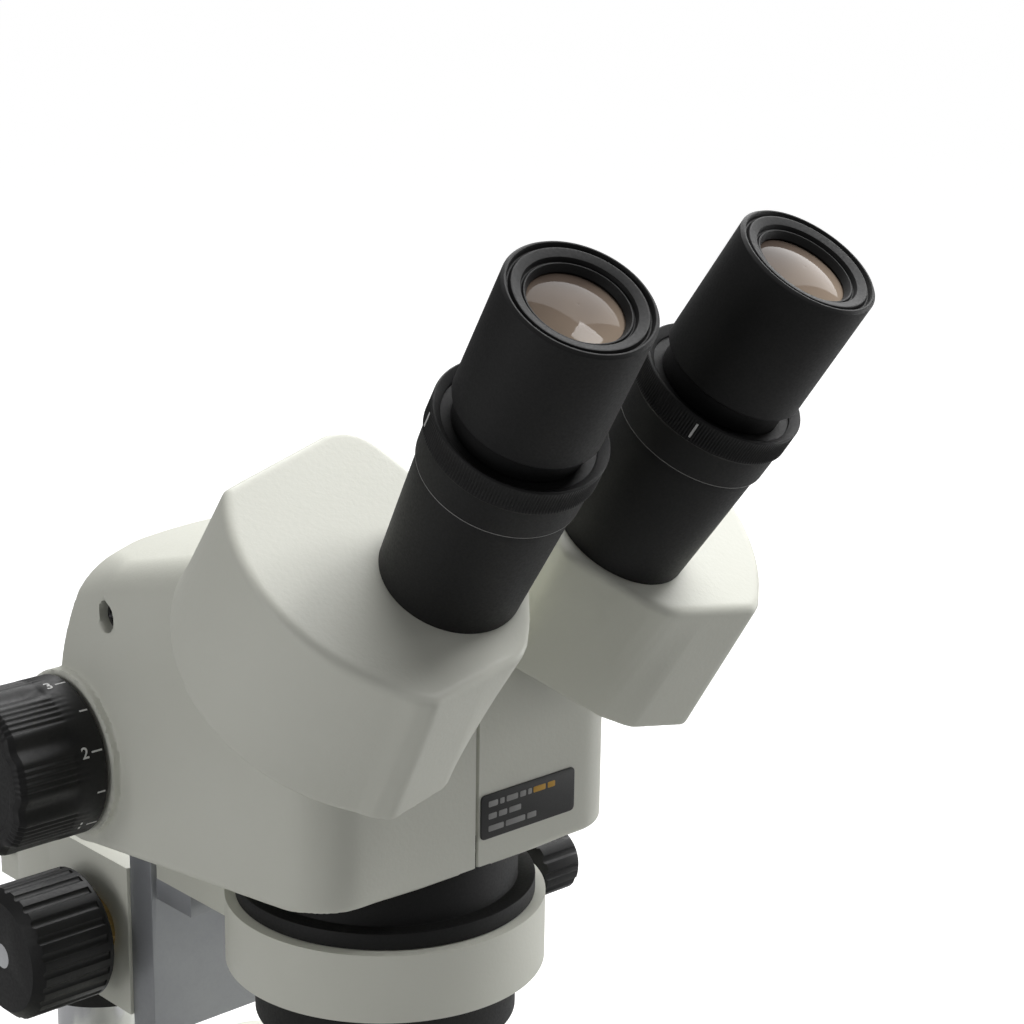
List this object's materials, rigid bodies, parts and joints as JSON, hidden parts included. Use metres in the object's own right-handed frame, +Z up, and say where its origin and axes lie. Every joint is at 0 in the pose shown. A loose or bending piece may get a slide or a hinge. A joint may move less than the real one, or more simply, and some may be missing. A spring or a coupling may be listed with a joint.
{
  "type": "stereo microscope",
  "caption": "Inclined binocular stereo zoom microscope with twin zoom knobs, turning in a ring holder on a rack-focus pillar stand with a round stage plate.",
  "frame": {"origin": "on the bench plane, straight under the optical centre of the head and the middle of the stage plate", "axes": "+Z up, +Y away from the user towards the column, +X to the user's right; the eyepieces point towards -Y"},
  "size_m": [0.2, 0.329, 0.372],
  "materials": {
    "cream_paint": "fine orange-peel satin powder coat",
    "base_paint": "fine textured powder coat",
    "black_anodised": "satin black anodised",
    "black_plastic": "satin moulded black with fine ribs",
    "black_steel": "blackened steel",
    "bright_steel": "ground and plated",
    "brushed_steel": "brushed",
    "cast_grey": "machined casting",
    "brass": "machined",
    "rubber": "matt",
    "stage_white": "smooth opal white",
    "label": "matt printed foil",
    "coated_glass": "polished, brownish anti-reflection coating",
    "clear_glass": "polished prism glass"
  },
  "bodies": {
    "stand": {"base_plate": "base_paint", "rubber_feet": "rubber", "column": "bright_steel", "column_flange": "brushed_steel", "flange_screws": "black_steel", "column_cap": "black_plastic", "clip_screws": "brushed_steel"},
    "stage_plate": {"stage_plate": "stage_white"},
    "clip_left": {"stage_clip_left": "brushed_steel"},
    "clip_right": {"stage_clip_right": "brushed_steel"},
    "collar": {"safety_collar": "black_anodised"},
    "collar_knob": {"collar_screw": "black_plastic"},
    "bracket": {"focus_bracket": "cream_paint", "pinion_bushes": "brass"},
    "bracket_clamp": {"bracket_clamp_screw": "black_plastic"},
    "tension": {"tension_ring": "brushed_steel"},
    "slide": {"focus_slide": "cast_grey", "focus_rack": "brass", "ring_holder": "cream_paint", "holder_screws": "black_steel"},
    "pinion": {"pinion_shaft": "bright_steel", "focus_knob_left": "black_plastic", "focus_knob_right": "black_plastic"},
    "head_lock": {"head_lock_screw": "black_plastic"},
    "head": {"head_barrel": "black_anodised", "head_frame": "cast_grey", "body_cover_left": "cream_paint", "body_cover_right": "cream_paint", "cover_screws": "bright_steel", "label_plate": "label", "objective_cells": "black_anodised", "objective_lenses": "coated_glass", "guide_rods": "bright_steel", "elbow_prisms": "clear_glass"},
    "zoom": {"zoom_shaft": "bright_steel", "zoom_knob_left": "black_plastic", "zoom_knob_right": "black_plastic"},
    "zoom_gear": {"zoom_idler": "brass"},
    "upper_carrier": {"upper_zoom_carrier": "cast_grey", "upper_zoom_lenses": "coated_glass"},
    "lower_carrier": {"lower_zoom_carrier": "cast_grey", "lower_zoom_lenses": "coated_glass"},
    "housing_left": {"prism_housing_left": "cream_paint", "pivot_plate_left": "cast_grey", "prisms_left": "clear_glass", "eyetube_left": "black_anodised"},
    "diopter_left": {"diopter_ring_left": "black_anodised"},
    "eyepiece_left": {"eyepiece_left": "black_anodised", "eye_lens_left": "coated_glass", "field_lens_left": "coated_glass"},
    "housing_right": {"prism_housing_right": "cream_paint", "pivot_plate_right": "cast_grey", "prisms_right": "clear_glass", "eyetube_right": "black_anodised"},
    "diopter_right": {"diopter_ring_right": "black_anodised"},
    "eyepiece_right": {"eyepiece_right": "black_anodised", "eye_lens_right": "coated_glass", "field_lens_right": "coated_glass"}
  },
  "joints": [
    {"name": "stage_turn", "type": "hinge", "parent": "stand", "child": "stage_plate", "pos_m": [0, 0, 0.021], "axis": [0, 0, 1], "continuous": true},
    {"name": "clip_left_turn", "type": "hinge", "parent": "stand", "child": "clip_left", "pos_m": [-0.066, 0.012, 0.0235], "axis": [0, 0, 1], "continuous": true},
    {"name": "clip_right_turn", "type": "hinge", "parent": "stand", "child": "clip_right", "pos_m": [0.066, 0.012, 0.0235], "axis": [0, 0, 1], "continuous": true},
    {"name": "collar_height", "type": "slide", "parent": "stand", "child": "collar", "axis": [0, 0, 1], "range_m": [-0.045, 0.03]},
    {"name": "collar_screw_turn", "type": "hinge", "parent": "collar", "child": "collar_knob", "pos_m": [-0.016, 0.15, 0.091], "axis": [-1, 0, 0], "range_deg": [0, 360]},
    {"name": "bracket_swing", "type": "hinge", "parent": "collar", "child": "bracket", "pos_m": [0, 0.15, 0.123], "axis": [0, 0, 1], "continuous": true},
    {"name": "bracket_clamp_turn", "type": "hinge", "parent": "bracket", "child": "bracket_clamp", "pos_m": [0.012, 0.186, 0.123], "axis": [1, 0, 0], "range_deg": [0, 360]},
    {"name": "tension_turn", "type": "hinge", "parent": "bracket", "child": "tension", "pos_m": [0.03, 0.1135, 0.123], "axis": [1, 0, 0], "range_deg": [-90, 90]},
    {"name": "focus_travel", "type": "slide", "parent": "bracket", "child": "slide", "axis": [0, 0, 1], "range_m": [-0.025, 0.025]},
    {"name": "focus_pinion_turn", "type": "hinge", "parent": "bracket", "child": "pinion", "pos_m": [0, 0.1135, 0.123], "axis": [1, 0, 0], "range_deg": [-192, 192]},
    {"name": "head_lock_turn", "type": "hinge", "parent": "slide", "child": "head_lock", "pos_m": [0.0384, 0, 0.158], "axis": [1, 0, 0], "range_deg": [0, 360]},
    {"name": "head_turn", "type": "hinge", "parent": "slide", "child": "head", "pos_m": [0, 0, 0.158], "axis": [0, 0, 1], "continuous": true},
    {"name": "zoom_turn", "type": "hinge", "parent": "head", "child": "zoom", "pos_m": [0, 0.073, 0.202], "axis": [1, 0, 0], "range_deg": [-135, 135]},
    {"name": "zoom_idler_turn", "type": "hinge", "parent": "head", "child": "zoom_gear", "pos_m": [0, 0.04515, 0.2215], "axis": [1, 0, 0], "range_deg": [-58, 58]},
    {"name": "upper_carrier_travel", "type": "slide", "parent": "head", "child": "upper_carrier", "axis": [0, 0, 1], "range_m": [-0.006, 0.006]},
    {"name": "lower_carrier_travel", "type": "slide", "parent": "head", "child": "lower_carrier", "axis": [0, 0, 1], "range_m": [-0.006, 0.006]},
    {"name": "ipd_right", "type": "hinge", "parent": "head", "child": "housing_right", "pos_m": [0.02096, -0.02674, 0.25297], "axis": [-0.0884, 0.557, -0.8258], "range_deg": [0, 34]},
    {"name": "diopter_right_turn", "type": "hinge", "parent": "housing_right", "child": "diopter_right", "pos_m": [0.03384, -0.08707, 0.31916], "axis": [0.0884, -0.557, 0.8258], "range_deg": [-150, 150]},
    {"name": "eyepiece_right_pull", "type": "slide", "parent": "diopter_right", "child": "eyepiece_right", "axis": [0.0884, -0.557, 0.8258], "range_m": [0, 0.03]},
    {"name": "ipd_left", "type": "hinge", "parent": "head", "child": "housing_left", "pos_m": [-0.02096, -0.02674, 0.25297], "axis": [-0.0884, -0.557, 0.8258], "range_deg": [0, 34]},
    {"name": "diopter_left_turn", "type": "hinge", "parent": "housing_left", "child": "diopter_left", "pos_m": [-0.03384, -0.08707, 0.31916], "axis": [-0.0884, -0.557, 0.8258], "range_deg": [-150, 150]},
    {"name": "eyepiece_left_pull", "type": "slide", "parent": "diopter_left", "child": "eyepiece_left", "axis": [-0.0884, -0.557, 0.8258], "range_m": [0, 0.03]}
  ],
  "couplings": [
    {"joint": "focus_pinion_turn", "follows": "focus_travel", "rad_per_m": -133.33},
    {"joint": "zoom_idler_turn", "follows": "zoom_turn", "ratio": -0.41667},
    {"joint": "upper_carrier_travel", "follows": "zoom_turn", "m_per_rad": -0.0025},
    {"joint": "lower_carrier_travel", "follows": "zoom_turn", "m_per_rad": 0.0025},
    {"joint": "ipd_left", "follows": "ipd_right", "ratio": 1}
  ]
}
